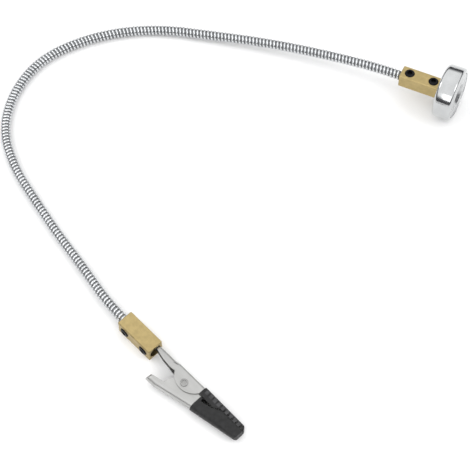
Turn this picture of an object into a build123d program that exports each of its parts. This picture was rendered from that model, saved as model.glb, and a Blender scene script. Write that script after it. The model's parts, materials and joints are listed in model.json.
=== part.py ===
from build123d import *
import math
import os

# A flexible-arm ground clamp: a pot magnet, a gooseneck arm between two square brass blocks, and a spring clip.
# Millimetres. The origin is the centre of the magnet's face, +X is the way that face looks, seen from above, and +Z
# is up as the clamp lies on a bench. The magnet stands on its rim, leaning back a little, with the clip on its side.

# Clearances
FIT_GAP = 0.05
PIVOT_GAP = 0.05
PLATE_GAP = 0.1
MOUTH_GAP = 0.3

# Magnet: a steel pot with a countersunk ring magnet and the screw that holds both to the block
MAGNET_D = 33.4
MAGNET_T = 11.5
MAGNET_TILT = 3.0
RIM_ROUND = 1.6
BACK_ROUND = 2.2
CUP_WALL = 2.4
CUP_FLOOR = 3.0
RING_GAP = 0.1
RING_RECESS = 0.2
COUNTERSINK_D = 15.0
HEAD_D = 9.0
SHANK_D = 6.0
SHANK_HOLE_D = 6.6
SHANK_IN_BLOCK = 10.0
SHANK_BORE_DEPTH = 11.0
SOCKET_AF = 4.0
SOCKET_DEPTH = 2.0

# Brass blocks
MAGNET_BLOCK_SIDE = 9.2
MAGNET_BLOCK_L = 26.0
MAGNET_BLOCK_ROLL = -4.0
CLIP_BLOCK_SIDE = 10.2
CLIP_BLOCK_L = 26.0
CLIP_BORE_D = 8.0
BLOCK_CHAMFER = 0.4
BORE_DEPTH = 12.0
SET_SCREW_D = 6.0
SET_SCREW_INSET = 5.3
SET_SCREW_PROUD = 0.7
SET_SOCKET_AF = 3.0
SET_SOCKET_DEPTH = 1.5
SET_CHAMFER = 0.5

# Gooseneck: a coil of round wire with a wedge-section wire wound in its groove
NECK_D = 6.4
CORE_D = 4.9
CORE_HOLE_D = 2.4
NECK_INSERT = 11.0
NECK_RUN = 27.85
NECK_TURNS = (3, 3, 4, 4, 1, 13, 14, 15, 27, 22, 27, 14, 1, 3, -3, 11)
SAG_CORNERS = 6
RISE_CORNERS = 2
ARC_SHARE = 0.45
BEND_LIMIT = 35.0
SPAN_GAP = 0.15

# Clip, in its own frame: x towards the tip, y away from the thumb lever, z along the rivet
SHEET_T = 0.8
SPINE_Y = 6.6
RIVET_REACH = 26.5
EAR_HALF = 4.2
TIP_HALF = 2.4
TIP_X = 42.4
EAR_X = 0.45
EAR_Y = 7.6
EAR_R = 11.4
EAR_FRONT = 11.0
EAR_REAR = -10.9
BEND_R = 2.0
BARREL_HALF = 2.5
BARREL_IN_BLOCK = 8.0
BARREL_EDGE = ((-26.5, 3.5), (-19.7, 2.0), (-12.0, 1.3))
FLARE = (-14.0, -9.5)
JAW_START_X = 6.9
JAW_HEEL = (13.8, 1.6)
JAW_THROAT = (21.6, 1.4)
TOOTH_START = 26.0
TOOTH_LINE = 4.3
TOOTH_PITCH = 1.8
TOOTH_DEPTH = 0.7
TOOTH_COUNT = 8

# Thumb lever and lower jaw: its spine runs through these points
LEVER_END = (-18.0, -12.9)
LEVER_KNEE = (-11.7, -12.5)
LEVER_FRONT = (12.8, -6.8)
LEVER_TIP_Y = -1.3
LEVER_BEND_R = 2.9
LEVER_TIP_R = 2.0
LEVER_PAD_EDGE = (-18.0, -9.6)
LEVER_PAD_ROUND = 3.0
LEVER_PLATE_EDGE = (-8.4, -7.3)
PLATE_REAR = ((-8.5, -5.9), (-7.6, -3.6), (-6.1, -2.0))
PLATE_R = 3.7
NOTCH_DEPTH = 2.0

# Rivet and spring
RIVET_D = 3.0
RIVET_HEAD_D = 4.6
RIVET_HEAD_T = 0.7
RIVET_DIMPLE_D = 2.6
RIVET_DIMPLE_DEPTH = 0.4
SPRING_WIRE_D = 0.8
SPRING_R = 2.2
SPRING_PITCH = 0.85
SPRING_TURNS = 2.75
SPRING_START = 233.1
SPRING_FIXED_LEG = 9.5
SPRING_WALL_GAP = 0.14

# Vinyl covers
COVER_T = 0.7
COVER_START = 10.4
LEVER_COVER_START = 12.2
NOSE_T = 1.0
NOSE_TOP_ROUND = 3.6
NOSE_LOW_ROUND = 2.4
NOSE_OVER = 0.1

SECTION_H = 60.0
CUT = 80.0

TILT_COS = math.cos(math.radians(MAGNET_TILT))
TILT_SIN = math.sin(math.radians(MAGNET_TILT))
FLOOR_Z = -(MAGNET_T - BACK_ROUND) * TILT_SIN - (MAGNET_D / 2 - BACK_ROUND) * TILT_COS - BACK_ROUND
LEVER_HALF = EAR_HALF - SHEET_T - PLATE_GAP


def smooth(t):
    """A rise from 0 to 1 with level ends."""
    t = min(max(t, 0.0), 1.0)
    return t * t * (3 - 2 * t)


def settle(t):
    """A rise from 0 to 1 that slows to a level end."""
    t = min(max(t, 0.0), 1.0)
    return 1 - (1 - t) ** 2


def block_mouth():
    """Where the arm leaves the magnet's block."""
    reach = MAGNET_T + MAGNET_BLOCK_L
    return Vector(-reach * TILT_COS, 0, -reach * TILT_SIN)


def neck_height(corner):
    """The centreline's height at a corner: on the block's axis at the first, then down to the bench and the clip."""
    start = block_mouth().Z - NECK_RUN / 2 * TILT_SIN / TILT_COS
    rest = FLOOR_Z + NECK_D / 2
    clip = FLOOR_Z + CLIP_BLOCK_SIDE / 2
    sag = (rest - start) * settle((corner - 1) / SAG_CORNERS)
    rise = (clip - rest) * smooth((corner - len(NECK_TURNS) + RISE_CORNERS) / RISE_CORNERS)
    return start + sag + rise


def neck_corners():
    """The centreline's start, its corners and its end, from the magnet's block to the clip's block."""
    heading = 180.0
    points = [block_mouth()]
    x, y = points[0].X, points[0].Y
    step = NECK_RUN / 2
    for corner, turn in enumerate(NECK_TURNS, 1):
        x += step * math.cos(math.radians(heading))
        y += step * math.sin(math.radians(heading))
        points.append(Vector(x, y, neck_height(corner)))
        heading += turn
        step = NECK_RUN
    x += NECK_RUN / 2 * math.cos(math.radians(heading))
    y += NECK_RUN / 2 * math.sin(math.radians(heading))
    points.append(Vector(x, y, neck_height(len(NECK_TURNS))))
    return points


def clip_heading():
    """The clip's direction on the bench, in degrees from +X."""
    return 180.0 + sum(NECK_TURNS)


def neck_joints():
    """The arm's bending points: the middle of every second run between corners."""
    points = neck_corners()
    return [(points[i] + points[i + 1]) * 0.5 for i in range(1, len(points) - 2, 2)]


def joint_axes():
    """One axis for each bending point, square to the arm: swings and nods in turn."""
    points = neck_corners()
    axes = []
    for number, i in enumerate(range(1, len(points) - 2, 2)):
        along = (points[i + 1] - points[i]).normalized()
        side = Vector(0, 0, 1).cross(along).normalized()
        axes.append(along.cross(side).normalized() if number % 2 == 0 else side)
    return axes


def span_points():
    """For each span of the arm, its two ends and the corners between them."""
    points = neck_corners()
    joints = neck_joints()
    reach = NECK_D / 2 * math.tan(math.radians(BEND_LIMIT / 2)) + SPAN_GAP
    out = (points[0] - points[1]).normalized()
    end_out = (points[-1] - points[-2]).normalized()
    ends = [points[0] + out * NECK_INSERT] + joints + [points[-1] + end_out * NECK_INSERT]
    spans = []
    corner = 1
    for number in range(len(ends) - 1):
        count = 1 if number in (0, len(ends) - 2) else 2
        middle = points[corner:corner + count]
        corner += count
        first, last = ends[number], ends[number + 1]
        if number > 0:
            first = first + (middle[0] - first).normalized() * reach
        if number < len(ends) - 2:
            last = last + (middle[-1] - last).normalized() * reach
        spans.append([first] + middle + [last])
    return spans


def span_path(points):
    """Straight runs joined by tangent arcs, each as large as its runs allow."""
    radii = []
    for before, corner, after in zip(points, points[1:], points[2:]):
        half = math.radians((corner - before).get_angle(after - corner)) / 2
        radii.append(ARC_SHARE * NECK_RUN / math.tan(half))
    return FilletPolyline(*points, radius=radii), radii


def tube(points, outer_d, inner_d):
    """A tube along one span of the arm."""
    path, _ = span_path(points)
    start = Plane(origin=path @ 0, z_dir=path % 0)
    ring = Circle(outer_d / 2) - Circle(inner_d / 2)
    return sweep(start * ring, path=path)


def clip_block_end():
    """Where the clip leaves its block."""
    heading = math.radians(clip_heading())
    return neck_corners()[-1] + Vector(math.cos(heading), math.sin(heading), 0) * CLIP_BLOCK_L


def block_axis_y():
    """The block's axis in the clip's frame: the barrel lies against the bore's far wall."""
    return SPINE_Y - CLIP_BORE_D / 2 + FIT_GAP


def clip_plane():
    """The clip's own frame: origin at the rivet's centre."""
    heading = math.radians(clip_heading())
    along = Vector(math.cos(heading), math.sin(heading), 0)
    side = Vector(-math.sin(heading), math.cos(heading), 0)
    return Plane(origin=clip_block_end() + along * RIVET_REACH - side * block_axis_y(), x_dir=along, z_dir=(0, 0, 1))


def block_plane(magnet_end):
    """A block's frame: origin at the arm's mouth, z into the block, x out of the face with the set screws."""
    if magnet_end:
        roll = math.radians(MAGNET_BLOCK_ROLL)
        top = (-TILT_SIN * math.cos(roll), -math.sin(roll), TILT_COS * math.cos(roll))
        return Plane(origin=block_mouth(), x_dir=top, z_dir=(TILT_COS, 0, TILT_SIN))
    heading = math.radians(clip_heading())
    along = Vector(math.cos(heading), math.sin(heading), 0)
    return Plane(origin=neck_corners()[-1], x_dir=(math.sin(heading), -math.cos(heading), 0), z_dir=along)


def place(plane, shape):
    """A shape drawn in a plane's frame, moved to the world."""
    return plane.location * shape


def tilted(shape):
    """A shape drawn with its face's normal along X, leaned back as the magnet stands."""
    return Rot(0, -MAGNET_TILT, 0) * shape


# Magnet end


def magnet_cup():
    centre = Plane(origin=(-MAGNET_T, 0, 0), x_dir=(0, 1, 0), z_dir=(1, 0, 0))
    body = extrude(centre * Circle(MAGNET_D / 2), amount=MAGNET_T)
    body = fillet(body.edges().group_by(Axis.X)[0], BACK_ROUND)
    body = fillet(body.edges().filter_by(GeomType.CIRCLE).group_by(Axis.X)[-1], RIM_ROUND)
    pocket = centre.offset(CUP_FLOOR) * Circle(MAGNET_D / 2 - CUP_WALL)
    body -= extrude(pocket, amount=MAGNET_T)
    body -= extrude(centre * Circle(SHANK_HOLE_D / 2), amount=MAGNET_T)
    return tilted(body)


def cone_cut(front_x, front_d, back_d):
    """A 45 degree cone along X, wide end at front_x, with a straight bore behind it."""
    depth = (front_d - back_d) / 2
    profile = Polyline(
        (front_x, 0),
        (front_x, front_d / 2),
        (front_x - depth, back_d / 2),
        (front_x - depth, 0),
        close=True,
    )
    return revolve(make_face(profile), axis=Axis.X)


def ring_magnet():
    back = Plane(origin=(-MAGNET_T + CUP_FLOOR, 0, 0), x_dir=(0, 1, 0), z_dir=(1, 0, 0))
    thickness = MAGNET_T - CUP_FLOOR - RING_RECESS
    body = extrude(back * Circle(MAGNET_D / 2 - CUP_WALL - RING_GAP), amount=thickness)
    body -= cone_cut(0, COUNTERSINK_D, SHANK_HOLE_D)
    return tilted(body - extrude(back * Circle(SHANK_HOLE_D / 2), amount=thickness))


def hexagon(across_flats):
    return RegularPolygon(across_flats / 2, 6, major_radius=False)


def magnet_screw():
    seat = FIT_GAP - (COUNTERSINK_D - HEAD_D) / 2
    head = cone_cut(seat, HEAD_D, SHANK_D)
    face = Plane(origin=(seat, 0, 0), x_dir=(0, 1, 0), z_dir=(-1, 0, 0))
    length = MAGNET_T + SHANK_IN_BLOCK + seat
    shank = extrude(face * Circle(SHANK_D / 2), amount=length)
    return tilted(head + shank - extrude(face * hexagon(SOCKET_AF), amount=SOCKET_DEPTH))


def set_screw_stations(length):
    return SET_SCREW_INSET, length - SET_SCREW_INSET


def square_block(side, length, far_bore_d, far_depth):
    """A brass bar with the arm's bore in one end, another bore in the far end, and two tapped holes in one face."""
    body = extrude(Rectangle(side, side), amount=length)
    body = chamfer(body.edges(), BLOCK_CHAMFER)
    body -= extrude(Circle(NECK_D / 2 + FIT_GAP), amount=BORE_DEPTH)
    body -= extrude(Plane.XY.offset(length - far_depth) * Circle(far_bore_d / 2), amount=far_depth)
    for z in set_screw_stations(length):
        hole = Plane(origin=(0, 0, z), x_dir=(0, 0, 1), z_dir=(1, 0, 0))
        body -= extrude(hole * Circle(SET_SCREW_D / 2 + FIT_GAP), amount=side)
    return body


def set_screw(bottom, top):
    """A socket set screw along x, from the piece it presses on to just proud of the block."""
    plane = Plane(origin=(bottom, 0, 0), x_dir=(0, 0, 1), z_dir=(1, 0, 0))
    body = extrude(plane * Circle(SET_SCREW_D / 2), amount=top - bottom)
    body = chamfer(body.edges().group_by(Axis.X)[-1], SET_CHAMFER)
    socket = Plane(origin=(top, 0, 0), x_dir=(0, 0, 1), z_dir=(-1, 0, 0))
    return body - extrude(socket * hexagon(SET_SOCKET_AF), amount=SET_SOCKET_DEPTH)


def set_screws(side, length, far_surface):
    """Both set screws of a block: one on the arm, one on what the far bore holds."""
    top = side / 2 + SET_SCREW_PROUD
    near, far = set_screw_stations(length)
    on_neck = Pos(0, 0, near) * set_screw(NECK_D / 2 + FIT_GAP, top)
    on_far = Pos(0, 0, far) * set_screw(far_surface, top)
    return Compound(children=[on_neck, on_far])


def magnet_block():
    body = square_block(MAGNET_BLOCK_SIDE, MAGNET_BLOCK_L, SHANK_D + 2 * FIT_GAP, SHANK_BORE_DEPTH)
    return place(block_plane(True), body)


def magnet_block_set_screws():
    screws = set_screws(MAGNET_BLOCK_SIDE, MAGNET_BLOCK_L, SHANK_D / 2 + FIT_GAP)
    return place(block_plane(True), screws)


# Clip end


def clip_block():
    body = square_block(CLIP_BLOCK_SIDE, CLIP_BLOCK_L, CLIP_BORE_D, BORE_DEPTH)
    return place(block_plane(False), body)


def clip_block_set_screws():
    barrel_edge = block_axis_y() - BARREL_EDGE[0][1] + FIT_GAP
    screws = set_screws(CLIP_BLOCK_SIDE, CLIP_BLOCK_L, barrel_edge)
    return place(block_plane(False), screws)


def folded(stations, side, inset=0.0):
    """A folded sheet's outer form, or with an inset its inner form: rounded sections along x.

    Each station is x, half width, spine y and bend radius. The spine faces +y where side is 1, -y where it is -1.
    """
    sections = []
    for x, half, spine_y, bend in stations:
        centre_y = spine_y - side * (inset + SECTION_H / 2)
        plane = Plane(origin=(x, centre_y, 0), x_dir=(0, 0, 1), z_dir=(1, 0, 0))
        sections.append(plane * RectangleRounded(2 * (half - inset), SECTION_H, bend - inset))
    return loft(sections, ruled=True)


def fixed_stations():
    return (
        (-RIVET_REACH - BARREL_IN_BLOCK, BARREL_HALF, SPINE_Y, BARREL_HALF - FIT_GAP),
        (FLARE[0], BARREL_HALF, SPINE_Y, BARREL_HALF - FIT_GAP),
        (FLARE[1], EAR_HALF, SPINE_Y, BEND_R),
        (EAR_FRONT, EAR_HALF, SPINE_Y, BEND_R),
        (TIP_X, TIP_HALF, SPINE_Y, BEND_R),
    )


def lever_stations():
    front_half = LEVER_HALF - (LEVER_HALF - TIP_HALF) * (LEVER_FRONT[0] - EAR_FRONT) / (TIP_X - EAR_FRONT)
    return (
        (LEVER_END[0], LEVER_HALF, LEVER_END[1], LEVER_BEND_R),
        (LEVER_KNEE[0], LEVER_HALF, LEVER_KNEE[1], LEVER_BEND_R),
        (LEVER_FRONT[0], front_half, LEVER_FRONT[1], LEVER_BEND_R),
        (TIP_X, TIP_HALF, LEVER_TIP_Y, LEVER_TIP_R),
    )


def grown(stations, side, amount):
    """The same stations with the sheet's outside moved out by an amount."""
    return [(x, half + amount, spine + side * amount, bend + amount) for x, half, spine, bend in stations]


def tooth_line(drop):
    """The toothed edge from the throat to the tip, lowered by drop."""
    points = []
    for tooth in range(TOOTH_COUNT):
        x = TOOTH_START + tooth * TOOTH_PITCH
        points.append((x, TOOTH_LINE - drop))
        points.append((x + TOOTH_PITCH / 2, TOOTH_LINE + TOOTH_DEPTH - drop))
    points.append((TOOTH_START + TOOTH_COUNT * TOOTH_PITCH, TOOTH_LINE - drop))
    points.append((TIP_X, TOOTH_LINE - drop))
    return points


def side_cut(points):
    """A prism through the clip's width from an outline seen from the side."""
    face = make_face(Polyline(*points, close=True))
    return extrude(face, amount=CUT / 2, both=True)


def fixed_side():
    """The fixed jaw's side view: barrel, ears and toothed jaw."""
    rear = -RIVET_REACH - BARREL_IN_BLOCK
    top = SPINE_Y + SECTION_H
    outline = [(rear, top), (rear, BARREL_EDGE[0][1]), *BARREL_EDGE, (JAW_START_X, JAW_HEEL[1])]
    outline += [JAW_THROAT, *tooth_line(0), (TIP_X, top)]
    prism = side_cut(outline)
    ear = extrude(Pos(EAR_X, EAR_Y) * Circle(EAR_R), amount=CUT / 2, both=True)
    window = side_cut([(EAR_REAR, top), (EAR_REAR, -CUT), (EAR_FRONT, -CUT), (EAR_FRONT, top)])
    return prism + (ear & window)


def lever_side():
    """The moving jaw's side view: thumb lever, pivot plates and toothed jaw."""
    bottom = LEVER_KNEE[1] - SECTION_H
    heel_y = JAW_HEEL[1] - MOUTH_GAP
    outline = [(LEVER_END[0], bottom), LEVER_PAD_EDGE, LEVER_PLATE_EDGE]
    outline += [*PLATE_REAR, (0, 0), (JAW_START_X, heel_y), (JAW_HEEL[0], heel_y)]
    outline += [(JAW_HEEL[0] + MOUTH_GAP, heel_y - NOTCH_DEPTH)]
    outline += [(JAW_THROAT[0] - MOUTH_GAP, JAW_THROAT[1] - MOUTH_GAP), *tooth_line(MOUTH_GAP), (TIP_X, bottom)]
    return side_cut(outline) + extrude(Circle(PLATE_R), amount=CUT / 2, both=True)


def pivot_cut(diameter):
    return extrude(Circle(diameter / 2), amount=CUT / 2, both=True)


def past_nose(end):
    """What lies beyond the jaws' rounded nose, seen from the side."""
    slope = (LEVER_TIP_Y - LEVER_FRONT[1]) / (TIP_X - LEVER_FRONT[0])
    start = end - 2 * NOSE_TOP_ROUND
    top = SPINE_Y + COVER_T + NOSE_OVER
    bottom = LEVER_TIP_Y - COVER_T - NOSE_OVER
    low_start = bottom - slope * (TIP_X - start)
    low_end = bottom - slope * (TIP_X - end)
    face = make_face(Polyline((start, top), (start, low_start), (end, low_end), (end, top), close=True))
    low, high = face.vertices().sort_by(Axis.X)[-2:].sort_by(Axis.Y)
    face = fillet(high, NOSE_TOP_ROUND)
    face = fillet(face.vertices().sort_by_distance(low)[0], NOSE_LOW_ROUND)
    beyond = side_cut([(start, -CUT), (CUT, -CUT), (CUT, CUT), (start, CUT)])
    return beyond - extrude(face, amount=CUT / 2, both=True)


def within_pad():
    """The lever's outline seen along its walls, with the thumb pad's end rounded."""
    centre = Pos(LEVER_END[0] + CUT / 2, 0, 0)
    outline = centre * Plane.XZ * RectangleRounded(CUT, 2 * (LEVER_HALF + FIT_GAP), LEVER_PAD_ROUND)
    return extrude(outline, amount=CUT / 2, both=True)


def fixed_jaw_outer():
    return (folded(fixed_stations(), 1) & fixed_side()) - past_nose(TIP_X - NOSE_T)


def moving_jaw_outer():
    return (folded(lever_stations(), -1) & lever_side() & within_pad()) - past_nose(TIP_X - NOSE_T)


def fixed_jaw():
    body = fixed_jaw_outer() - folded(fixed_stations(), 1, SHEET_T) - pivot_cut(RIVET_D)
    return place(clip_plane(), body)


def moving_jaw():
    body = moving_jaw_outer() - folded(lever_stations(), -1, SHEET_T) - pivot_cut(RIVET_D + 2 * PIVOT_GAP)
    return place(clip_plane(), body)


def cover(stations, side, side_view, start_x):
    """A vinyl sleeve over a jaw: closed at the nose, open along the mouth, its outside following the jaw's."""
    sleeve = (folded(grown(stations, side, COVER_T), side) & side_view) - past_nose(TIP_X)
    sleeve -= folded(stations, side) - past_nose(TIP_X - NOSE_T)
    return sleeve & side_cut([(start_x, -CUT), (CUT, -CUT), (CUT, CUT), (start_x, CUT)])


def fixed_jaw_cover():
    return place(clip_plane(), cover(fixed_stations(), 1, fixed_side(), COVER_START))


def moving_jaw_cover():
    return place(clip_plane(), cover(lever_stations(), -1, lever_side(), LEVER_COVER_START))


def pivot_rivet():
    body = extrude(Circle(RIVET_D / 2), amount=EAR_HALF, both=True)
    for side in (1, -1):
        face = Plane(origin=(0, 0, side * EAR_HALF), z_dir=(0, 0, side))
        head = extrude(face * Circle(RIVET_HEAD_D / 2), amount=RIVET_HEAD_T)
        outer_edge = head.edges().sort_by(Axis.Z)[-1 if side > 0 else 0]
        head = fillet(outer_edge, RIVET_HEAD_T / 2)
        crown = face.offset(RIVET_HEAD_T - RIVET_DIMPLE_DEPTH)
        body += head
        body -= extrude(crown * Circle(RIVET_DIMPLE_D / 2), amount=RIVET_DIMPLE_DEPTH)
    return place(clip_plane(), body)


def lever_leg_length():
    """As long as the spring's leg can be, climbing at the coil's slope, before it meets the lever's wall."""
    slope = SPRING_PITCH / math.hypot(SPRING_PITCH, math.tau * SPRING_R)
    coil_half = SPRING_PITCH * SPRING_TURNS / 2
    room = LEVER_HALF - SHEET_T - SPRING_WALL_GAP - SPRING_WIRE_D / 2 - coil_half
    return room / slope


def jaw_spring():
    """A torsion spring round the rivet: the first leg bears in the barrel, the last one in the lever."""
    height = SPRING_PITCH * SPRING_TURNS
    coil = Pos(0, 0, -height / 2) * Rot(0, 0, SPRING_START) * Helix(SPRING_PITCH, height, SPRING_R)
    first, last = coil @ 0, coil @ 1
    fixed_leg = Line(first - (coil % 0) * SPRING_FIXED_LEG, first)
    lever_leg = Line(last, last + (coil % 1) * lever_leg_length())
    path = Wire([fixed_leg.edge(), coil.edge(), lever_leg.edge()])
    start = Plane(origin=path @ 0, z_dir=path % 0)
    return place(clip_plane(), sweep(start * Circle(SPRING_WIRE_D / 2), path=path))


def build():
    """Every piece, by name."""
    pieces = {
        "magnet_cup": magnet_cup(),
        "ring_magnet": ring_magnet(),
        "magnet_screw": magnet_screw(),
        "magnet_block": magnet_block(),
        "magnet_block_set_screws": magnet_block_set_screws(),
        "clip_block": clip_block(),
        "clip_block_set_screws": clip_block_set_screws(),
        "fixed_jaw": fixed_jaw(),
        "moving_jaw": moving_jaw(),
        "pivot_rivet": pivot_rivet(),
        "jaw_spring": jaw_spring(),
        "fixed_jaw_cover": fixed_jaw_cover(),
        "moving_jaw_cover": moving_jaw_cover(),
    }
    for number, points in enumerate(span_points(), 1):
        pieces[f"core_spring_{number}"] = tube(points, CORE_D, CORE_HOLE_D)
        pieces[f"wedge_wire_{number}"] = tube(points, NECK_D, CORE_D + 2 * FIT_GAP)
    return pieces


def main():
    os.makedirs("parts", exist_ok=True)
    for number, points in enumerate(span_points(), 1):
        print(f"span {number} arc radii, mm:", [round(r) for r in span_path(points)[1]])
    for name, shape in build().items():
        export_step(shape, f"parts/{name}.step")


if __name__ == "__main__":
    main()
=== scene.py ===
"""A ground clamp: a pot magnet, a gooseneck between two brass blocks, and a clip with vinyl covers."""

import json
import math
from bisect import bisect_right

import bmesh
import bpy
from mathutils import Matrix, Vector


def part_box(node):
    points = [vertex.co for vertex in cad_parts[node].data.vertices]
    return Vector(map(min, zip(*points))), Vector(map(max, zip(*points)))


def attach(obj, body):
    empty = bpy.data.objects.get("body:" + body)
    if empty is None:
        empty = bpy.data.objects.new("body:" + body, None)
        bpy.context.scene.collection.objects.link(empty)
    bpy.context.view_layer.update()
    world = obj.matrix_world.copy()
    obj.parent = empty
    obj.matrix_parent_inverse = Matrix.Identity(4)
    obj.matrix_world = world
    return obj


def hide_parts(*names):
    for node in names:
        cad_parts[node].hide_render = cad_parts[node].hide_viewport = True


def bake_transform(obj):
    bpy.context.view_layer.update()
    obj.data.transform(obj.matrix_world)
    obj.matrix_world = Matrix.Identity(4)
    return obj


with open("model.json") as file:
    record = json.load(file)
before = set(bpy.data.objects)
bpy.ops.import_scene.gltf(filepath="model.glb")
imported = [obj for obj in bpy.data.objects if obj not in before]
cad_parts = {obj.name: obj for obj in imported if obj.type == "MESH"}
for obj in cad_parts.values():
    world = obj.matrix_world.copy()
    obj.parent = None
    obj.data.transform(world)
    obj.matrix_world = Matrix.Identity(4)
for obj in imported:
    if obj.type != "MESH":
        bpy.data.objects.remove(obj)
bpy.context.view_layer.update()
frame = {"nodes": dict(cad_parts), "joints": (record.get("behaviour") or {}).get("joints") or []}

bl_info = {
    "name": "Ground Clamp",
    "version": (1, 0, 0),
    "blender": (4, 5, 0),
    "location": "3D View > Sidebar > Ground Clamp",
    "description": "Builds a magnetic ground clamp with a gooseneck arm and an alligator clip",
    "category": "Object",
}

MM = 0.001
FLOOR_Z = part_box("magnet_cup")[0][2]

# The magnet leans back on its rim; the reach is from its face to the far end of its block
MAGNET_TILT = math.radians(3.0)
BLOCK_REACH = 37.5

# The arm's route, in millimetres and degrees: equal runs with a turn at each corner
NECK_INSERT = 11.0
NECK_RUN = 27.85
NECK_TURNS = (3, 3, 4, 4, 1, 13, 14, 15, 27, 22, 27, 14, 1, 3, -3, 11)
CURVE_STEPS = 40

# The heights of its axis on the floor and at the clip, and the corners it takes to sag and to rise
NECK_AXIS_Z = FLOOR_Z / MM + 3.2
CLIP_AXIS_Z = FLOOR_Z / MM + 5.1
SAG_CORNERS = 6
RISE_CORNERS = 2

# The bodies along the arm, and a length at each end of a wire section, whose end points are worked out but
# not used
ARM_BODIES = ["magnet_base"] + [f"arm_{k}" for k in range(1, 8)] + ["clip_end"]
BEND_MARGIN = 6.0

# The clip's frame starts at the rivet's centre, with x towards the tip and y away from the lever
CLIP_BLOCK_L = 26.0
RIVET_REACH = 26.5
BARREL_OFFSET = 2.65
CLIP_TURN = math.radians(180 + sum(NECK_TURNS))
TIP_X = 42.4

# The upper cover's half width, which tapers from the ears to the tip, and the pads along its sides
COVER_HALF = 4.9
COVER_TIP_HALF = 3.1
TAPER_START = 11.0
PAD_COUNT = 9
PAD_START_X = 13.4
PAD_Y = 4.9
PAD_SIZE = (2.0, 2.5, 1.0)
PAD_SINK = 0.16
PAD_TAPER = 3.3
# How far past the side face a pad's faces must stand to take the painted highlight
PAD_HIGHLIGHT_DEPTH = 0.14

# The pot's walls, the ring magnet in it and the countersunk hole through both
CUP_WALL = 2.4
CUP_FLOOR = 3.0
HOLE_R = 3.3
SINK_R = 7.3
RING_GAP = 0.1
RING_RECESS = 0.2
POT_LIP_ROUND = 0.25
RING_EDGE_ROUND = 0.2
SINK_EDGE_ROUND = 0.15

# Small roundings of machined edges
BLOCK_ROUND = 0.18
SCREW_ROUND = 0.08
SET_SCREW_ROUND = 0.06

# The rivet's head and its dimple
RIVET_R = 1.5
RIVET_SEAT = 4.2
RIVET_TOP = 4.9
RIVET_HEAD_R = 2.3
RIVET_HEAD_ROUND = 0.3
DIMPLE_R = 1.4
DIMPLE_FLOOR_R = 1.25
DIMPLE_DEPTH = 0.4

# The jaw spring: its coil, and the legs that run out from the coil's two ends
SPRING_R = 2.2
SPRING_TURNS = 2.75
SPRING_PITCH = 0.85
SPRING_START = math.radians(233.1)
SPRING_WIRE_D = 0.8
FIXED_LEG = 9.4
LEVER_LEG = 12.8
COIL_STEPS = 132
LEG_STEPS = 12

# How meshes are made: tolerances in metres, angles in radians, and counts
SEAM = 2e-6
TURNED_SEAM = 1e-6
NEAR_END = 1e-7
FLAT_ANGLE = math.radians(0.6)
HARD_ANGLE = math.radians(35)
SHARP_ANGLE = math.radians(38)
EDGE_SEGMENTS = 2
CORNER_SEGMENTS = 8
WIRE_RINGS = 3
SKIN_SMOOTHING = 2

# The studio: the room's colour by height, and the lamps by name, offset, width and watts
ROOM = (
    (0.05, (0.05, 0.05, 0.053, 1)),
    (0.26, (0.09, 0.09, 0.095, 1)),
    (0.46, (1.0, 1.0, 1.0, 1)),
)
LAMPS = (
    ("key", (-0.95, -0.15, 0.95), 0.5, 2.2),
    ("fill", (0.9, 0.1, 0.8), 0.5, 2.0),
    ("front", (0.1, -0.95, 0.6), 0.5, 1.6),
)
STUDIO_CENTRE = Vector((-0.11, -0.12, FLOOR_Z))
FLOOR_HALF = 6.0

# The camera: what it looks at and from how far, in metres, and its lens in millimetres
CAMERA_AIM = Vector((-0.08547, -0.13683, -0.01717))
CAMERA_DISTANCE = 0.88304
CAMERA_LENS = 114.9


# Sizes and colours a user would change


class ArmSettings(bpy.types.PropertyGroup):
    """The gooseneck's two wires"""

    outer_d: bpy.props.FloatProperty(
        name="Outer diameter",
        description="Over the wedge wire",
        default=6.4 * MM,
        min=3.0 * MM,
        max=12.0 * MM,
        unit="LENGTH",
    )
    pitch: bpy.props.FloatProperty(
        name="Pitch",
        description="From one turn of the wire to the next",
        default=2.25 * MM,
        min=1.0 * MM,
        max=5.0 * MM,
        unit="LENGTH",
    )
    core_wire_d: bpy.props.FloatProperty(
        name="Core wire",
        description="Diameter of the round wire",
        default=0.85 * MM,
        min=0.3 * MM,
        max=2.5 * MM,
        unit="LENGTH",
    )
    wedge_wire_d: bpy.props.FloatProperty(
        name="Wedge wire",
        description="Width of the outer wire's crown",
        default=1.5 * MM,
        min=0.3 * MM,
        max=2.5 * MM,
        unit="LENGTH",
    )
    core_depth: bpy.props.FloatProperty(
        name="Groove depth",
        description="From the wedge wire's crown down to the core wire",
        default=0.52 * MM,
        min=0.0,
        max=2.0 * MM,
        unit="LENGTH",
    )
    steps: bpy.props.IntProperty(
        name="Steps a turn",
        description="Points along each turn of wire",
        default=28,
        min=8,
        max=64,
    )


class MagnetSettings(bpy.types.PropertyGroup):
    """The magnet's steel pot"""

    diameter: bpy.props.FloatProperty(
        name="Diameter",
        description="Of the steel pot",
        default=33.4 * MM,
        min=10.0 * MM,
        max=80.0 * MM,
        unit="LENGTH",
    )
    thickness: bpy.props.FloatProperty(
        name="Thickness",
        description="Of the steel pot",
        default=11.5 * MM,
        min=4.0 * MM,
        max=30.0 * MM,
        unit="LENGTH",
    )
    rim_round: bpy.props.FloatProperty(
        name="Front rounding",
        description="Radius of the pot's front edge",
        default=1.6 * MM,
        min=0.1 * MM,
        max=4.0 * MM,
        unit="LENGTH",
    )
    back_round: bpy.props.FloatProperty(
        name="Back rounding",
        description="Radius of the pot's back edge",
        default=2.2 * MM,
        min=0.1 * MM,
        max=4.0 * MM,
        unit="LENGTH",
    )


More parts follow.
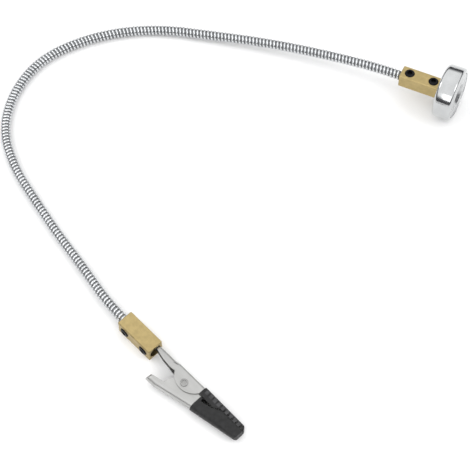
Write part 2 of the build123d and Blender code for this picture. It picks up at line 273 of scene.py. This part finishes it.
class ClipSettings(bpy.types.PropertyGroup):
    """The clip's sheet metal and its covers"""

    edge_round: bpy.props.FloatProperty(
        name="Sheet edge",
        description="Rounding of the stamped sheet's edges",
        default=0.12 * MM,
        min=0.02 * MM,
        max=0.3 * MM,
        unit="LENGTH",
    )
    cover_voxel: bpy.props.FloatProperty(
        name="Cover grain",
        description="Size of the covers' mesh cells",
        default=0.2 * MM,
        min=0.1 * MM,
        max=0.5 * MM,
        unit="LENGTH",
    )
    ridge_pitch: bpy.props.FloatProperty(
        name="Grip pitch",
        description="From one grip pad to the next",
        default=3.1 * MM,
        min=1.0 * MM,
        max=6.0 * MM,
        unit="LENGTH",
    )


class FinishSettings(bpy.types.PropertyGroup):
    """The colours of the clamp's materials"""

    chrome: bpy.props.FloatVectorProperty(
        name="Chrome",
        description="Colour of the arm's wires",
        subtype="COLOR",
        default=(0.66, 0.675, 0.69),
    )
    nickel: bpy.props.FloatVectorProperty(
        name="Nickel",
        description="Colour of the magnet's plating",
        subtype="COLOR",
        default=(0.55, 0.56, 0.565),
    )
    brass: bpy.props.FloatVectorProperty(
        name="Brass",
        description="Colour of the blocks",
        subtype="COLOR",
        default=(0.45, 0.352, 0.165),
    )
    steel: bpy.props.FloatVectorProperty(
        name="Clip steel",
        description="Colour of the clip's sheet metal",
        subtype="COLOR",
        default=(0.48, 0.48, 0.47),
    )
    black: bpy.props.FloatVectorProperty(
        name="Black oxide",
        description="Colour of the set screws",
        subtype="COLOR",
        default=(0.018, 0.018, 0.020),
    )
    vinyl: bpy.props.FloatVectorProperty(
        name="Vinyl",
        description="Colour of the jaw covers",
        subtype="COLOR",
        default=(0.012, 0.012, 0.0125),
    )


class StageSettings(bpy.types.PropertyGroup):
    """The floor, the room and where the camera stands"""

    floor: bpy.props.FloatVectorProperty(
        name="Floor",
        description="Colour of the floor",
        subtype="COLOR",
        default=(0.93, 0.93, 0.93),
    )
    world: bpy.props.FloatProperty(
        name="Surround",
        description="Brightness of the room",
        default=1.3,
        min=0.0,
        max=5.0,
    )
    azimuth: bpy.props.FloatProperty(
        name="Azimuth",
        description="Camera's bearing",
        default=math.radians(25.28),
        subtype="ANGLE",
    )
    elevation: bpy.props.FloatProperty(
        name="Elevation",
        description="Camera's height above the horizon",
        default=math.radians(61.18),
        subtype="ANGLE",
    )


# Materials


def shader_of(name):
    """A new material's node tree and its main shader."""
    material = bpy.data.materials.new(name)
    material.use_nodes = True
    return material.node_tree, material.node_tree.nodes["Principled BSDF"]


def object_pattern(tree, turn=(0, 0, 0), stretch=(1, 1, 1)):
    """Object coordinates in millimetres, turned and stretched."""
    coordinates = tree.nodes.new("ShaderNodeTexCoord")
    mapping = tree.nodes.new("ShaderNodeMapping")
    mapping.vector_type = "TEXTURE"
    mapping.inputs["Rotation"].default_value = turn
    mapping.inputs["Scale"].default_value = [MM * s for s in stretch]
    tree.links.new(coordinates.outputs["Object"], mapping.inputs["Vector"])
    return mapping.outputs["Vector"]


def noise(tree, vector, scale, detail, roughness=0.5):
    """Cloudy noise whose scale is in cells a millimetre."""
    node = tree.nodes.new("ShaderNodeTexNoise")
    node.inputs["Scale"].default_value = scale
    node.inputs["Detail"].default_value = detail
    node.inputs["Roughness"].default_value = roughness
    tree.links.new(vector, node.inputs["Vector"])
    return node.outputs["Fac"]


def ranged(tree, noise_value, low, high):
    """Noise, which keeps near its middle, spread out over low to high."""
    node = tree.nodes.new("ShaderNodeMapRange")
    node.inputs["From Min"].default_value = 0.3
    node.inputs["From Max"].default_value = 0.7
    node.inputs["To Min"].default_value = low
    node.inputs["To Max"].default_value = high
    tree.links.new(noise_value, node.inputs["Value"])
    return node.outputs["Result"]


def blended_colour(tree, share, first, second):
    """A colour from the first to the second, by a share from 0 to 1."""
    node = tree.nodes.new("ShaderNodeMix")
    node.data_type = "RGBA"
    node.inputs["A"].default_value = (*first, 1)
    node.inputs["B"].default_value = (*second, 1)
    tree.links.new(share, node.inputs["Factor"])
    return node.outputs["Result"]


def bumped(tree, shader, height, strength, distance):
    """Adds a bump; the distance is in millimetres."""
    node = tree.nodes.new("ShaderNodeBump")
    node.inputs["Strength"].default_value = strength
    node.inputs["Distance"].default_value = distance * MM
    tree.links.new(height, node.inputs["Height"])
    tree.links.new(node.outputs["Normal"], shader.inputs["Normal"])


def tinted(colour, factor):
    """The colour made darker or lighter."""
    return tuple(min(c * factor, 1.0) for c in colour)


def plated_metal(name, colour, rough, patch, grain, turn=(0, 0, 0), stretch=(1, 1, 1)):
    """Plated steel: slow patches of tarnish in the colour and gloss, and a fine grain in the surface."""
    tree, shader = shader_of(name)
    vector = object_pattern(tree, turn, stretch)
    patches = noise(tree, vector, patch, detail=4.0)
    tarnish = blended_colour(
        tree, ranged(tree, patches, low=0, high=1), tinted(colour, 0.88), tinted(colour, 1.04)
    )
    tree.links.new(tarnish, shader.inputs["Base Color"])
    tree.links.new(ranged(tree, patches, low=rough[1], high=rough[0]), shader.inputs["Roughness"])
    shader.inputs["Metallic"].default_value = 1.0
    bumped(tree, shader, noise(tree, vector, grain, detail=3.0), strength=0.25, distance=0.01)


def machined_brass(name, colour, turn):
    """Drawn brass bar: fine lines along the bar, a faint mottle of tarnish, and a satin gloss."""
    tree, shader = shader_of(name)
    along = object_pattern(tree, turn, stretch=(14.0, 1.0, 1.0))
    plain = object_pattern(tree, turn)
    mottle = noise(tree, plain, scale=0.35, detail=5.0, roughness=0.6)
    lines = noise(tree, along, scale=5.0, detail=3.0, roughness=0.6)
    warm = blended_colour(
        tree, ranged(tree, mottle, low=0, high=1), tinted(colour, 0.86), tinted(colour, 1.08)
    )
    tree.links.new(warm, shader.inputs["Base Color"])
    tree.links.new(ranged(tree, lines, low=0.34, high=0.50), shader.inputs["Roughness"])
    shader.inputs["Metallic"].default_value = 1.0
    bumped(tree, shader, lines, strength=0.35, distance=0.02)


def soft_vinyl(name, colour):
    """Dip-moulded vinyl: nearly black, with a slight bloom and a soft uneven skin."""
    tree, shader = shader_of(name)
    vector = object_pattern(tree)
    bloom = noise(tree, vector, scale=0.45, detail=4.0)
    grain = noise(tree, vector, scale=6.0, detail=2.0)
    mix = blended_colour(
        tree, ranged(tree, bloom, low=0, high=1), tinted(colour, 0.75), tinted(colour, 1.5)
    )
    tree.links.new(mix, shader.inputs["Base Color"])
    tree.links.new(ranged(tree, grain, low=0.42, high=0.58), shader.inputs["Roughness"])
    shader.inputs["Specular IOR Level"].default_value = 0.32
    bumped(tree, shader, grain, strength=0.3, distance=0.03)


def floor_finish(name, colour):
    """Matt painted board."""
    tree, shader = shader_of(name)
    shader.inputs["Base Color"].default_value = (*colour, 1)
    shader.inputs["Roughness"].default_value = 0.7
    shader.inputs["Specular IOR Level"].default_value = 0.2


def make_finishes(colours):
    """Every material of the clamp, in the colours chosen for it."""
    chrome, nickel, steel = colours.chrome, colours.nickel, colours.steel
    plated_metal("chrome_wire_finish", chrome, rough=(0.08, 0.2), patch=0.12, grain=3.0)
    # The core wire is the chrome darkened to a third: painted shade in the grooves between the wedge
    # wire's turns
    plated_metal("shaded_core_wire_finish", tinted(chrome, 0.3), rough=(0.22, 0.36), patch=0.12, grain=3.0)
    plated_metal("nickel_finish", nickel, rough=(0.09, 0.17), patch=0.10, grain=2.0)
    plated_metal("magnet_face_finish", tinted(nickel, 0.95), rough=(0.22, 0.34), patch=0.25, grain=4.0)
    plated_metal(
        "clip_steel_finish",
        steel,
        rough=(0.26, 0.38),
        patch=0.18,
        grain=4.0,
        turn=(0, 0, CLIP_TURN),
        stretch=(3, 1, 1),
    )
    plated_metal("rivet_finish", tinted(steel, 0.72), rough=(0.2, 0.3), patch=0.5, grain=5.0)
    plated_metal("spring_steel_finish", tinted(steel, 0.6), rough=(0.2, 0.32), patch=0.5, grain=5.0)
    plated_metal("screw_steel_finish", tinted(steel, 0.5), rough=(0.3, 0.42), patch=0.5, grain=5.0)
    plated_metal("black_oxide_finish", colours.black, rough=(0.32, 0.5), patch=0.6, grain=6.0)
    machined_brass("magnet_block_brass", colours.brass, turn=(0, 0, 0))
    machined_brass("clip_block_brass", colours.brass, turn=(0, 0, CLIP_TURN))
    soft_vinyl("vinyl_finish", colours.vinyl)
    # A paler vinyl for the grip pads' tops: a painted highlight
    soft_vinyl("pad_highlight_vinyl_finish", tinted(colours.vinyl, 3.2))


def finish_of(name):
    """A material by its name; all of them are made at the first call."""
    if name not in bpy.data.materials:
        make_finishes(bpy.context.scene.clamp_finishes)
    return bpy.data.materials[name]


# Making pieces


def link_piece(name, mesh, finish):
    """Puts a mesh into the scene as a smooth-shaded piece with its finish."""
    mesh.shade_smooth()
    mesh.set_sharp_from_angle(angle=SHARP_ANGLE)
    mesh.materials.clear()
    mesh.materials.append(finish_of(finish))
    mesh.name = name
    piece = bpy.data.objects.new(name, mesh)
    bpy.context.scene.collection.objects.link(piece)
    return piece


def mesh_from(bm, name):
    """The bmesh as a new mesh; the bmesh is freed."""
    mesh = bpy.data.meshes.new(name)
    bm.to_mesh(mesh)
    bm.free()
    return mesh


def clip_matrix():
    """From the clip's frame to the row frame."""
    along = Vector((math.cos(CLIP_TURN), math.sin(CLIP_TURN), 0))
    side = Vector((-math.sin(CLIP_TURN), math.cos(CLIP_TURN), 0))
    reach = CLIP_BLOCK_L - NECK_INSERT + RIVET_REACH
    place = route_corners()[-1] + along * reach * MM - side * BARREL_OFFSET * MM
    return Matrix.Translation(place) @ Matrix.Rotation(CLIP_TURN, 4, "Z")


def smooth_step(t):
    """From 0 to 1 with a level start and end."""
    t = min(max(t, 0.0), 1.0)
    return t * t * (3 - 2 * t)


def route_height(corner):
    """The arm's height at a corner, in millimetres.

    From the leaning magnet it sags down to the floor, and near its end it rises to the clip.
    """
    start = -BLOCK_REACH * math.sin(MAGNET_TILT) - NECK_RUN / 2 * math.tan(MAGNET_TILT)
    left = 1 - min((corner - 1) / SAG_CORNERS, 1.0)
    sag = (NECK_AXIS_Z - start) * (1 - left * left)
    rise_start = len(NECK_TURNS) - RISE_CORNERS
    rise = (CLIP_AXIS_Z - NECK_AXIS_Z) * smooth_step((corner - rise_start) / RISE_CORNERS)
    return start + sag + rise


def route_corners():
    """The arm's route in metres: its end in the magnet's block, its corners, and its end at the clip."""
    heading = math.pi
    lean = Vector((math.cos(MAGNET_TILT), 0, math.sin(MAGNET_TILT)))
    x, y = -BLOCK_REACH * lean.x, 0.0
    corners = [lean * (NECK_INSERT - BLOCK_REACH)]
    step = NECK_RUN / 2
    for corner, turn in enumerate(NECK_TURNS, 1):
        x += step * math.cos(heading)
        y += step * math.sin(heading)
        corners.append(Vector((x, y, route_height(corner))))
        heading += math.radians(turn)
        step = NECK_RUN
    reach = NECK_RUN / 2 + NECK_INSERT
    x += reach * math.cos(heading)
    y += reach * math.sin(heading)
    corners.append(Vector((x, y, CLIP_AXIS_Z)))
    return [corner * MM for corner in corners]


def route_line():
    """Points along the arm's smooth centreline, with the distance of each from the start."""
    curve = bpy.data.curves.new("arm_route", "CURVE")
    curve.dimensions = "3D"
    curve.resolution_u = CURVE_STEPS
    corners = route_corners()
    spline = curve.splines.new("NURBS")
    spline.points.add(len(corners) - 1)
    for point, corner in zip(spline.points, corners):
        point.co = (*corner, 1)
    spline.order_u = 3
    spline.use_endpoint_u = True
    holder = bpy.data.objects.new("arm_route", curve)
    mesh = bpy.data.meshes.new_from_object(holder)
    points = [v.co.copy() for v in mesh.vertices]
    bpy.data.objects.remove(holder)
    bpy.data.curves.remove(curve)
    bpy.data.meshes.remove(mesh)
    if (points[0] - corners[0]).length > (points[-1] - corners[0]).length:
        points.reverse()
    distances = [0.0]
    for before, after in zip(points, points[1:]):
        distances.append(distances[-1] + (after - before).length)
    return points, distances


class Centreline:
    """The arm's centreline by distance."""

    def __init__(self):
        self.points, self.distances = route_line()
        self.length = self.distances[-1]

    def at(self, distance):
        """The point at a distance and the arm's direction there, both smooth along the route."""
        i = min(max(bisect_right(self.distances, distance) - 1, 0), len(self.distances) - 2)
        first, last = self.points[i], self.points[i + 1]
        share = (distance - self.distances[i]) / (self.distances[i + 1] - self.distances[i])
        before = self.points[max(i - 1, 0)]
        after = self.points[min(i + 2, len(self.points) - 1)]
        direction = (last - before).lerp(after - first, share).normalized()
        return first.lerp(last, share), direction

    def nearest(self, place):
        """The distance of the point that is nearest a place."""
        i = min(range(len(self.points)), key=lambda k: (self.points[k] - place).length_squared)
        return self.distances[i]


def wire_mesh(name, points, diameter):
    """A round wire along a list of points."""
    curve = bpy.data.curves.new(name, "CURVE")
    curve.dimensions = "3D"
    curve.bevel_depth = diameter / 2
    curve.bevel_resolution = WIRE_RINGS
    curve.use_fill_caps = True
    spline = curve.splines.new("POLY")
    spline.points.add(len(points) - 1)
    for point, place in zip(spline.points, points):
        point.co = (*place, 1)
    holder = bpy.data.objects.new(name, curve)
    mesh = bpy.data.meshes.new_from_object(holder)
    bpy.data.objects.remove(holder)
    bpy.data.curves.remove(curve)
    return mesh


def turned_mesh(name, outline, rounded, steps=128, closed=False):
    """A lathe-turned form about X, in millimetres.

    The outline is (x, radius) points, and rounded gives a corner's radius by its number.
    """
    bm = bmesh.new()
    verts = [bm.verts.new((x * MM, 0, radius * MM)) for x, radius in outline]
    pairs = list(zip(verts, verts[1:]))
    if closed:
        pairs.append((verts[-1], verts[0]))
    for first, second in pairs:
        bm.edges.new((first, second))
    for corner, radius in rounded.items():
        bmesh.ops.bevel(
            bm,
            geom=[verts[corner]],
            offset=radius * MM,
            segments=CORNER_SEGMENTS,
            profile=0.5,
            affect="VERTICES",
            material=-1,
        )
    bmesh.ops.spin(
        bm,
        geom=bm.verts[:] + bm.edges[:],
        axis=(1, 0, 0),
        cent=(0, 0, 0),
        angle=math.tau,
        steps=steps,
        use_merge=True,
    )
    bmesh.ops.remove_doubles(bm, verts=bm.verts[:], dist=TURNED_SEAM)
    bmesh.ops.recalc_face_normals(bm, faces=bm.faces[:])
    return mesh_from(bm, name)


def carried_mesh(node, edge_round):
    """A copy of a CAD node's shape as one mesh, its hard edges rounded by edge_round millimetres."""
    bm = bmesh.new()
    bm.from_mesh(frame["nodes"][node].data)
    bmesh.ops.remove_doubles(bm, verts=bm.verts[:], dist=SEAM)
    bmesh.ops.dissolve_limit(bm, angle_limit=FLAT_ANGLE, verts=bm.verts[:], edges=bm.edges[:])
    hard = [e for e in bm.edges if len(e.link_faces) == 2 and e.calc_face_angle(0) > HARD_ANGLE]
    bmesh.ops.bevel(
        bm,
        geom=hard,
        offset=edge_round * MM,
        offset_type="OFFSET",
        segments=EDGE_SEGMENTS,
        profile=0.5,
        affect="EDGES",
        clamp_overlap=True,
        material=-1,
    )
    return mesh_from(bm, node)


def carried_piece(node, name, edge_round, finish, body):
    """A CAD node's shape as a piece with rounded edges and even shading, which rides on a body."""
    piece = link_piece(name, carried_mesh(node, edge_round), finish)
    modifier = piece.modifiers.new("even_shading", "WEIGHTED_NORMAL")
    modifier.keep_sharp = True
    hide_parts(node)
    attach(piece, body)


def remeshed(mesh, voxel):
    """One continuous skin over everything in the mesh, smoothed."""
    holder = bpy.data.objects.new("remesh", mesh)
    bpy.context.scene.collection.objects.link(holder)
    modifier = holder.modifiers.new("skin", "REMESH")
    modifier.mode = "VOXEL"
    modifier.voxel_size = voxel
    depsgraph = bpy.context.evaluated_depsgraph_get()
    skin = bpy.data.meshes.new_from_object(holder.evaluated_get(depsgraph))
    bpy.data.objects.remove(holder)
    bm = bmesh.new()
    bm.from_mesh(skin)
    for _ in range(SKIN_SMOOTHING):
        bmesh.ops.smooth_vert(
            bm, verts=bm.verts[:], factor=0.5, use_axis_x=True, use_axis_y=True, use_axis_z=True
        )
    bmesh.ops.recalc_face_normals(bm, faces=bm.faces[:])
    bm.to_mesh(skin)
    bm.free()
    return skin


# Operators, one for each group of pieces


class CLAMP_OT_stage(bpy.types.Operator):
    """Lay a pale floor, soft studio light and the camera"""

    bl_idname = "clamp.stage"
    bl_label = "Stage"

    def execute(self, context):
        settings = context.scene.clamp_stage
        bm = bmesh.new()
        bmesh.ops.create_grid(bm, x_segments=2, y_segments=2, size=FLOOR_HALF)
        bmesh.ops.translate(bm, verts=bm.verts[:], vec=(0, 0, FLOOR_Z))
        floor = bpy.data.objects.new("floor", mesh_from(bm, "floor"))
        floor_finish("floor_finish", settings.floor)
        floor.data.materials.append(bpy.data.materials["floor_finish"])
        context.scene.collection.objects.link(floor)
        self.light_room(context, settings)
        self.place_camera(context, settings)
        return {"FINISHED"}

    def light_room(self, context, settings):
        """A room that is dark below and bright overhead, for the metal to reflect, and soft lamps."""
        world = bpy.data.worlds.new("studio")
        world.use_nodes = True
        tree = world.node_tree
        background = tree.nodes["Background"]
        coordinates = tree.nodes.new("ShaderNodeTexCoord")
        split = tree.nodes.new("ShaderNodeSeparateXYZ")
        ramp = tree.nodes.new("ShaderNodeValToRGB")
        stops = ramp.color_ramp.elements
        stops.new(ROOM[1][0])
        for stop, (height, colour) in zip(stops, ROOM):
            stop.position = height
            stop.color = colour
        tree.links.new(coordinates.outputs["Generated"], split.inputs["Vector"])
        tree.links.new(split.outputs["Z"], ramp.inputs["Fac"])
        tree.links.new(ramp.outputs["Color"], background.inputs["Color"])
        background.inputs["Strength"].default_value = settings.world
        context.scene.world = world
        context.scene.view_settings.view_transform = "Standard"
        for name, offset, size, power in LAMPS:
            light = bpy.data.lights.new(name, "AREA")
            light.shape = "SQUARE"
            light.size = size
            light.energy = power
            lamp = bpy.data.objects.new(name, light)
            lamp.location = STUDIO_CENTRE + Vector(offset)
            lamp.rotation_euler = (-Vector(offset)).to_track_quat("-Z", "Y").to_euler()
            context.scene.collection.objects.link(lamp)

    def place_camera(self, context, settings):
        """The camera looks down on the clamp from its bearing and height."""
        azimuth, elevation = settings.azimuth, settings.elevation
        forward = Vector((
            -math.sin(azimuth) * math.cos(elevation),
            math.cos(azimuth) * math.cos(elevation),
            -math.sin(elevation),
        ))
        camera = bpy.data.cameras.new("camera")
        camera.lens = CAMERA_LENS
        camera.sensor_width = 36.0
        camera.clip_start = 0.01
        camera.clip_end = 50.0
        holder = bpy.data.objects.new("camera", camera)
        holder.location = CAMERA_AIM - forward * CAMERA_DISTANCE
        holder.rotation_euler = forward.to_track_quat("-Z", "Y").to_euler()
        context.scene.collection.objects.link(holder)
        context.scene.camera = holder


class CLAMP_OT_gooseneck(bpy.types.Operator):
    """Wind the arm's two wires, in sections split between the joints"""

    bl_idname = "clamp.gooseneck"
    bl_label = "Gooseneck"

    def execute(self, context):
        settings = context.scene.clamp_arm
        line = Centreline()
        bends = [line.nearest(Vector(joint["pos_m"])) for joint in frame["joints"][: len(ARM_BODIES) - 1]]
        splits = [0.0] + [(a + b) / 2 for a, b in zip(bends, bends[1:])] + [line.length]
        core_r = settings.outer_d / 2 - settings.core_wire_d / 2 - settings.core_depth
        wedge_r = settings.outer_d / 2 - settings.wedge_wire_d / 2
        wires = (
            ("core_spring", core_r, settings.core_wire_d, 0.0, "shaded_core_wire_finish"),
            ("wedge_wire", wedge_r, settings.wedge_wire_d, math.pi, "chrome_wire_finish"),
        )
        for number in range(len(splits) - 1):
            start, end = splits[number], splits[number + 1]
            for kind, radius, diameter, phase, finish in wires:
                points = self.helix(line, start, end, radius, settings, phase)
                name = f"{kind}_section_{number + 1}"
                mesh = wire_mesh(name, points, diameter)
                piece = link_piece(name, mesh, finish)
                nodes = [f"{kind}_{number + 1}"]
                if number == len(splits) - 2:
                    nodes.append(f"{kind}_{number + 2}")
                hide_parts(*nodes)
                bend_start = line.at(start + BEND_MARGIN * MM)[0]
                bend_end = line.at(end - BEND_MARGIN * MM)[0]
                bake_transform(piece)
        return {"FINISHED"}

    def helix(self, line, start, end, radius, settings, phase):
        """Points of one wire between two distances along the arm."""
        pitch = settings.pitch
        step = pitch / settings.steps
        count = max(2, round((end - start) / step))
        points = []
        for i in range(count + 1):
            distance = start + (end - start) * i / count
            place, direction = line.at(min(distance, line.length - NEAR_END))
            side = Vector((0, 0, 1)).cross(direction).normalized()
            up = direction.cross(side)
            angle = math.tau * distance / pitch + phase
            points.append(place + (side * math.cos(angle) + up * math.sin(angle)) * radius)
        return points


class CLAMP_OT_magnet(bpy.types.Operator):
    """Turn the magnet's steel pot and ring, and finish its screw"""

    bl_idname = "clamp.magnet"
    bl_label = "Magnet"

    def execute(self, context):
        settings = context.scene.clamp_magnet
        radius, back = settings.diameter / MM / 2, -settings.thickness / MM
        inside, floor = radius - CUP_WALL, back + CUP_FLOOR
        lean = Matrix.Rotation(-MAGNET_TILT, 4, "Y")
        pot = [(back, HOLE_R), (back, radius), (0, radius), (0, inside), (floor, inside), (floor, HOLE_R)]
        rounding = {1: settings.back_round / MM, 2: settings.rim_round / MM, 3: POT_LIP_ROUND}
        mesh = turned_mesh("magnet_pot", pot, rounding, steps=160, closed=True)
        mesh.transform(lean)
        piece = link_piece("magnet_pot", mesh, "nickel_finish")
        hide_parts("magnet_cup")
        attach(piece, "magnet_base")
        edge, face = inside - RING_GAP, -RING_RECESS
        sink = face - (SINK_R - HOLE_R)
        ring = [(floor, HOLE_R), (floor, edge), (face, edge), (face, SINK_R), (sink, HOLE_R)]
        mesh = turned_mesh("magnet_ring", ring, {2: RING_EDGE_ROUND, 3: SINK_EDGE_ROUND}, closed=True)
        mesh.transform(lean)
        piece = link_piece("magnet_ring", mesh, "magnet_face_finish")
        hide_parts("ring_magnet")
        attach(piece, "magnet_base")
        carried_piece(
            "magnet_screw",
            "countersunk_screw",
            SCREW_ROUND,
            "screw_steel_finish",
            "magnet_base",
        )
        return {"FINISHED"}


class CLAMP_OT_blocks(bpy.types.Operator):
    """Finish the two brass blocks"""

    bl_idname = "clamp.blocks"
    bl_label = "Brass Blocks"

    def execute(self, context):
        for node, body, finish in (
            ("magnet_block", "magnet_base", "magnet_block_brass"),
            ("clip_block", "clip_end", "clip_block_brass"),
        ):
            carried_piece(node, f"{node}_brass", BLOCK_ROUND, finish, body)
        return {"FINISHED"}


class CLAMP_OT_set_screws(bpy.types.Operator):
    """Finish the blocks' black set screws"""

    bl_idname = "clamp.set_screws"
    bl_label = "Set Screws"

    def execute(self, context):
        for block, body in (("magnet_block", "magnet_base"), ("clip_block", "clip_end")):
            node = f"{block}_set_screws"
            name = f"{node}_black"
            carried_piece(node, name, SET_SCREW_ROUND, "black_oxide_finish", body)
        return {"FINISHED"}


class CLAMP_OT_jaws(bpy.types.Operator):
    """Finish the clip's two stamped jaws"""

    bl_idname = "clamp.jaws"
    bl_label = "Jaws"

    def execute(self, context):
        edge = context.scene.clamp_clip.edge_round / MM
        for node, body in (("fixed_jaw", "clip_end"), ("moving_jaw", "lower_jaw")):
            carried_piece(node, f"{node}_sheet", edge, "clip_steel_finish", body)
        return {"FINISHED"}


class CLAMP_OT_covers(bpy.types.Operator):
    """Form the soft vinyl covers, with grip pads on the upper one"""

    bl_idname = "clamp.covers"
    bl_label = "Covers"

    def execute(self, context):
        settings = context.scene.clamp_clip
        for node, body, pads in (
            ("fixed_jaw_cover", "clip_end", True),
            ("moving_jaw_cover", "lower_jaw", False),
        ):
            bm = bmesh.new()
            bm.from_mesh(frame["nodes"][node].data)
            bmesh.ops.remove_doubles(bm, verts=bm.verts[:], dist=SEAM)
            if pads:
                self.add_pads(bm, settings)
            skin = remeshed(mesh_from(bm, node), settings.cover_voxel)
            piece = link_piece(f"{node}_vinyl", skin, "vinyl_finish")
            if pads:
                self.paint_pad_highlights(skin)
            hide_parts(node)
            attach(piece, body)
        return {"FINISHED"}

    def half_width(self, x):
        """Half the upper cover's width at x along the clip, in millimetres."""
        return COVER_HALF - (COVER_HALF - COVER_TIP_HALF) * max(x - TAPER_START, 0) / (TIP_X - TAPER_START)

    def add_pads(self, bm, settings):
        """Raised pads along both side faces, which the skin then joins to the cover."""
        place = clip_matrix()
        for side in (1, -1):
            for number in range(PAD_COUNT):
                x = PAD_START_X + number * settings.ridge_pitch / MM
                centre = Vector((x, PAD_Y, side * (self.half_width(x) - PAD_SINK)))
                matrix = place @ Matrix.Translation(centre * MM)
                matrix = matrix @ Matrix.Rotation(side * math.radians(PAD_TAPER), 4, "Y")
                size = Matrix.Diagonal((*(Vector(PAD_SIZE) * MM), 1))
                bmesh.ops.create_cube(bm, size=1.0, matrix=matrix @ size)

    def paint_pad_highlights(self, skin):
        """The pads' tops get a paler black vinyl: a painted highlight."""
        skin.materials.append(finish_of("pad_highlight_vinyl_finish"))
        to_clip = clip_matrix().inverted()
        for face in skin.polygons:
            centre = (to_clip @ face.center) / MM
            if abs(centre.z) > self.half_width(centre.x) + PAD_HIGHLIGHT_DEPTH:
                face.material_index = 1


class CLAMP_OT_rivet(bpy.types.Operator):
    """Turn the pivot rivet with its dished heads"""

    bl_idname = "clamp.rivet"
    bl_label = "Rivet"

    def execute(self, context):
        half = [
            (RIVET_SEAT, RIVET_R),
            (RIVET_SEAT, RIVET_HEAD_R),
            (RIVET_TOP, RIVET_HEAD_R),
            (RIVET_TOP, DIMPLE_R),
            (RIVET_TOP - DIMPLE_DEPTH, DIMPLE_FLOOR_R),
            (RIVET_TOP - DIMPLE_DEPTH, 0.0),
        ]
        outline = [(-x, r) for x, r in reversed(half)] + half
        count = len(half)
        crown = half.index((RIVET_TOP, RIVET_HEAD_R))
        rounding = {count + crown: RIVET_HEAD_ROUND, count - 1 - crown: RIVET_HEAD_ROUND}
        mesh = turned_mesh("rivet", outline, rounding, steps=64)
        mesh.transform(clip_matrix() @ Matrix.Rotation(math.pi / 2, 4, "Y"))
        piece = link_piece("rivet", mesh, "rivet_finish")
        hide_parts("pivot_rivet")
        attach(piece, "clip_end")
        return {"FINISHED"}


class CLAMP_OT_spring(bpy.types.Operator):
    """Wind the jaw spring: its coil and the legs from its two ends"""

    bl_idname = "clamp.spring"
    bl_label = "Jaw Spring"

    def execute(self, context):
        height = SPRING_TURNS * SPRING_PITCH
        coil = []
        for i in range(COIL_STEPS + 1):
            share = i / COIL_STEPS
            angle = SPRING_START + share * SPRING_TURNS * math.tau
            rise = (share - 0.5) * height
            coil.append(Vector((SPRING_R * math.cos(angle), SPRING_R * math.sin(angle), rise)))
        first = (coil[0] - coil[1]).normalized() * FIXED_LEG
        last = (coil[-1] - coil[-2]).normalized() * LEVER_LEG
        points = [coil[0] + first * (1 - i / LEG_STEPS) for i in range(LEG_STEPS)] + coil
        points += [coil[-1] + last * i / LEG_STEPS for i in range(1, LEG_STEPS + 1)]
        place = clip_matrix()
        wire = [place @ (point * MM) for point in points]
        mesh = wire_mesh("jaw_spring_wire", wire, SPRING_WIRE_D * MM)
        piece = link_piece("jaw_spring_wire", mesh, "spring_steel_finish")
        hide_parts("jaw_spring")
        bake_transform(piece)
        return {"FINISHED"}


class CLAMP_PT_panel(bpy.types.Panel):
    """The clamp's pieces and settings"""

    bl_idname = "CLAMP_PT_panel"
    bl_label = "Ground Clamp"
    bl_space_type = "VIEW_3D"
    bl_region_type = "UI"
    bl_category = "Ground Clamp"

    def draw(self, context):
        layout = self.layout
        for group in ("clamp_arm", "clamp_magnet", "clamp_clip", "clamp_finishes", "clamp_stage"):
            box = layout.box()
            settings = getattr(context.scene, group)
            for name in settings.__annotations__:
                box.prop(settings, name)
        for operator in OPERATORS:
            layout.operator(operator.bl_idname)


SETTINGS = {
    "clamp_arm": ArmSettings,
    "clamp_magnet": MagnetSettings,
    "clamp_clip": ClipSettings,
    "clamp_finishes": FinishSettings,
    "clamp_stage": StageSettings,
}
OPERATORS = (
    CLAMP_OT_stage,
    CLAMP_OT_gooseneck,
    CLAMP_OT_magnet,
    CLAMP_OT_blocks,
    CLAMP_OT_set_screws,
    CLAMP_OT_jaws,
    CLAMP_OT_covers,
    CLAMP_OT_rivet,
    CLAMP_OT_spring,
)


def register():
    for group in SETTINGS.values():
        bpy.utils.register_class(group)
    for operator in OPERATORS:
        bpy.utils.register_class(operator)
    bpy.utils.register_class(CLAMP_PT_panel)
    for name, group in SETTINGS.items():
        setattr(bpy.types.Scene, name, bpy.props.PointerProperty(type=group))


def unregister():
    for name in SETTINGS:
        delattr(bpy.types.Scene, name)
    bpy.utils.unregister_class(CLAMP_PT_panel)
    for operator in reversed(OPERATORS):
        bpy.utils.unregister_class(operator)
    for group in reversed(SETTINGS.values()):
        bpy.utils.unregister_class(group)


def main():
    register()
    for operator in OPERATORS:
        group, name = operator.bl_idname.split(".")
        getattr(getattr(bpy.ops, group), name)()


if __name__ == "__main__":
    main()
